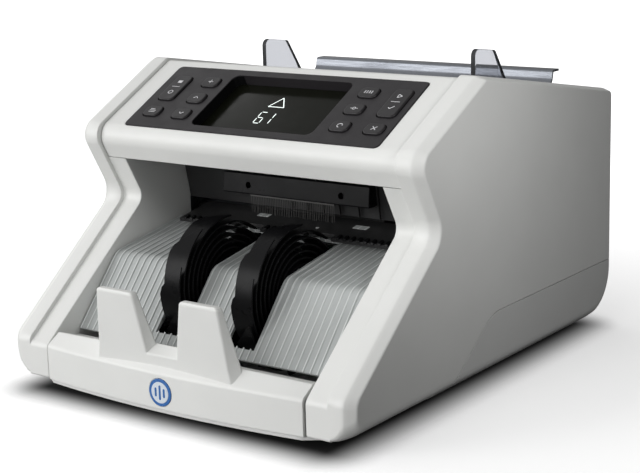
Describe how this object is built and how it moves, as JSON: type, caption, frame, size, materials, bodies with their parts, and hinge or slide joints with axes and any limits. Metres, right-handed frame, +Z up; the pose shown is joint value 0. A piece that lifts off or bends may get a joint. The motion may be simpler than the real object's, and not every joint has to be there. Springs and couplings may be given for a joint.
{
  "type": "banknote counting machine",
  "caption": "Benchtop banknote counter with a rear top hopper, a sloped key panel and display, and spiral stacker wheels over an open front pocket.",
  "frame": {"origin": "bottom centre of the bounding box, on the plane the feet stand on", "axes": "+X to the machine's right as seen from the front, +Y to its rear, +Z up"},
  "size_m": [0.25, 0.307, 0.1891],
  "materials": {
    "white_shell": "fine-grained white moulded plastic",
    "grey_base": "fine-grained light grey moulded plastic",
    "badge_blue": "printed round badge under a clear coat",
    "rubber": "matt black rubber",
    "brush_fibre": "bundled conductive fibres",
    "panel_charcoal": "matt charcoal film",
    "display_glass": "dark polished window",
    "board_green": "green solder mask",
    "key_plastic": "matt dark silicone key",
    "black_plastic": "satin black moulded plastic",
    "ribbed_plastic": "light grey ribbed plastic",
    "shaft_steel": "ground steel",
    "grey_plastic": "moulded grey nylon",
    "sheet_steel": "plated sheet steel",
    "clear_plastic": "clear polished plastic",
    "belt_rubber": "matt black belt"
  },
  "bodies": {
    "base": {"side_cover_right": "white_shell", "side_cover_left": "white_shell", "top_cover": "white_shell", "front_lip": "white_shell", "rear_cover": "white_shell", "base_shell": "grey_base", "badge": "badge_blue", "foot_front_left": "rubber", "foot_front_right": "rubber", "foot_rear_left": "rubber", "foot_rear_right": "rubber", "control_panel": "panel_charcoal", "display_window": "display_glass", "panel_board": "board_green", "exit_wall": "black_plastic", "exit_plate": "black_plastic", "brush_bar": "black_plastic", "brush": "brush_fibre", "stacker_plate": "ribbed_plastic", "hopper_sheet": "sheet_steel", "guide_rail": "sheet_steel", "frame_right": "sheet_steel", "frame_left": "sheet_steel", "motor": "sheet_steel", "drive_belt": "belt_rubber", "feed_belt": "belt_rubber", "stacker_belt": "belt_rubber", "main_board": "board_green", "power_inlet": "black_plastic"},
    "rocker": {"power_rocker": "black_plastic"},
    "guide_right": {"guide_right": "clear_plastic"},
    "guide_left": {"guide_left": "clear_plastic"},
    "pinion": {"guide_pinion": "grey_plastic"},
    "drum": {"separator_drum": "grey_plastic", "drum_pulley": "grey_plastic"},
    "feed": {"feed_shaft": "shaft_steel", "feed_tyre_left": "rubber", "feed_tyre_right": "rubber", "feed_pulley": "grey_plastic"},
    "transport": {"transport_roller": "rubber", "transport_pulley": "grey_plastic", "stacker_drive_pulley": "grey_plastic"},
    "stacker": {"stacker_shaft": "shaft_steel", "stacker_wheel_right": "black_plastic", "stacker_wheel_left": "black_plastic", "stacker_pulley": "grey_plastic"},
    "retard": {"retard_roller": "rubber"},
    "pinch": {"pinch_roller": "rubber"},
    "rotor": {"motor_pulley": "grey_plastic"},
    "key_left_tall": {"key_left_tall": "key_plastic"},
    "key_left_corner": {"key_left_corner": "key_plastic"},
    "key_left_upper": {"key_left_upper": "key_plastic"},
    "key_left_middle": {"key_left_middle": "key_plastic"},
    "key_left_lower": {"key_left_lower": "key_plastic"},
    "key_right_upper": {"key_right_upper": "key_plastic"},
    "key_right_middle": {"key_right_middle": "key_plastic"},
    "key_right_lower": {"key_right_lower": "key_plastic"},
    "key_right_tall": {"key_right_tall": "key_plastic"},
    "key_right_corner": {"key_right_corner": "key_plastic"}
  },
  "joints": [
    {"name": "press_left_tall", "type": "slide", "parent": "base", "child": "key_left_tall", "axis": [0, 0.4631, -0.8863], "range_m": [0, 0.001], "stiffness_N_per_m": 150, "springref_m": -0.001},
    {"name": "press_left_corner", "type": "slide", "parent": "base", "child": "key_left_corner", "axis": [0, 0.4631, -0.8863], "range_m": [0, 0.001], "stiffness_N_per_m": 150, "springref_m": -0.001},
    {"name": "press_left_upper", "type": "slide", "parent": "base", "child": "key_left_upper", "axis": [0, 0.4631, -0.8863], "range_m": [0, 0.001], "stiffness_N_per_m": 150, "springref_m": -0.001},
    {"name": "press_left_middle", "type": "slide", "parent": "base", "child": "key_left_middle", "axis": [0, 0.4631, -0.8863], "range_m": [0, 0.001], "stiffness_N_per_m": 150, "springref_m": -0.001},
    {"name": "press_left_lower", "type": "slide", "parent": "base", "child": "key_left_lower", "axis": [0, 0.4631, -0.8863], "range_m": [0, 0.001], "stiffness_N_per_m": 150, "springref_m": -0.001},
    {"name": "press_right_upper", "type": "slide", "parent": "base", "child": "key_right_upper", "axis": [0, 0.4631, -0.8863], "range_m": [0, 0.001], "stiffness_N_per_m": 150, "springref_m": -0.001},
    {"name": "press_right_middle", "type": "slide", "parent": "base", "child": "key_right_middle", "axis": [0, 0.4631, -0.8863], "range_m": [0, 0.001], "stiffness_N_per_m": 150, "springref_m": -0.001},
    {"name": "press_right_lower", "type": "slide", "parent": "base", "child": "key_right_lower", "axis": [0, 0.4631, -0.8863], "range_m": [0, 0.001], "stiffness_N_per_m": 150, "springref_m": -0.001},
    {"name": "press_right_tall", "type": "slide", "parent": "base", "child": "key_right_tall", "axis": [0, 0.4631, -0.8863], "range_m": [0, 0.001], "stiffness_N_per_m": 150, "springref_m": -0.001},
    {"name": "press_right_corner", "type": "slide", "parent": "base", "child": "key_right_corner", "axis": [0, 0.4631, -0.8863], "range_m": [0, 0.001], "stiffness_N_per_m": 150, "springref_m": -0.001},
    {"name": "rocker_tip", "type": "hinge", "parent": "base", "child": "rocker", "pos_m": [-0.032, 0.1531, 0.0315], "axis": [1, 0, 0], "range_deg": [0, 12]},
    {"name": "guide_right_slide", "type": "slide", "parent": "base", "child": "guide_right", "axis": [1, 0, 0], "range_m": [-0.028, 0.012]},
    {"name": "guide_left_slide", "type": "slide", "parent": "base", "child": "guide_left", "axis": [1, 0, 0], "range_m": [-0.012, 0.028]},
    {"name": "pinion_turn", "type": "hinge", "parent": "base", "child": "pinion", "pos_m": [0, 0.129, 0.134], "axis": [0, 1, 0], "range_deg": [-216, 93]},
    {"name": "drum_spin", "type": "hinge", "parent": "base", "child": "drum", "pos_m": [0, 0.05, 0.0985], "axis": [1, 0, 0], "continuous": true},
    {"name": "feed_spin", "type": "hinge", "parent": "base", "child": "feed", "pos_m": [0, 0.088, 0.106], "axis": [1, 0, 0], "continuous": true},
    {"name": "transport_spin", "type": "hinge", "parent": "base", "child": "transport", "pos_m": [0, 0.008, 0.0825], "axis": [1, 0, 0], "continuous": true},
    {"name": "stacker_spin", "type": "hinge", "parent": "base", "child": "stacker", "pos_m": [0, -0.068, 0.0555], "axis": [1, 0, 0], "continuous": true},
    {"name": "retard_spin", "type": "hinge", "parent": "base", "child": "retard", "pos_m": [0, 0.032, 0.123], "axis": [1, 0, 0], "continuous": true},
    {"name": "pinch_spin", "type": "hinge", "parent": "base", "child": "pinch", "pos_m": [0, 0.008, 0.102], "axis": [1, 0, 0], "continuous": true},
    {"name": "motor_spin", "type": "hinge", "parent": "base", "child": "rotor", "pos_m": [0, 0.105, 0.0475], "axis": [1, 0, 0], "continuous": true}
  ],
  "couplings": [
    {"joint": "guide_left_slide", "follows": "guide_right_slide", "ratio": -1},
    {"joint": "pinion_turn", "follows": "guide_right_slide", "rad_per_m": 133.33},
    {"joint": "feed_spin", "follows": "drum_spin", "ratio": 1.2},
    {"joint": "transport_spin", "follows": "drum_spin", "ratio": 1.5},
    {"joint": "stacker_spin", "follows": "drum_spin", "ratio": 0.64286},
    {"joint": "motor_spin", "follows": "drum_spin", "ratio": 2},
    {"joint": "retard_spin", "follows": "drum_spin", "ratio": -2},
    {"joint": "pinch_spin", "follows": "drum_spin", "ratio": -2.0625}
  ]
}
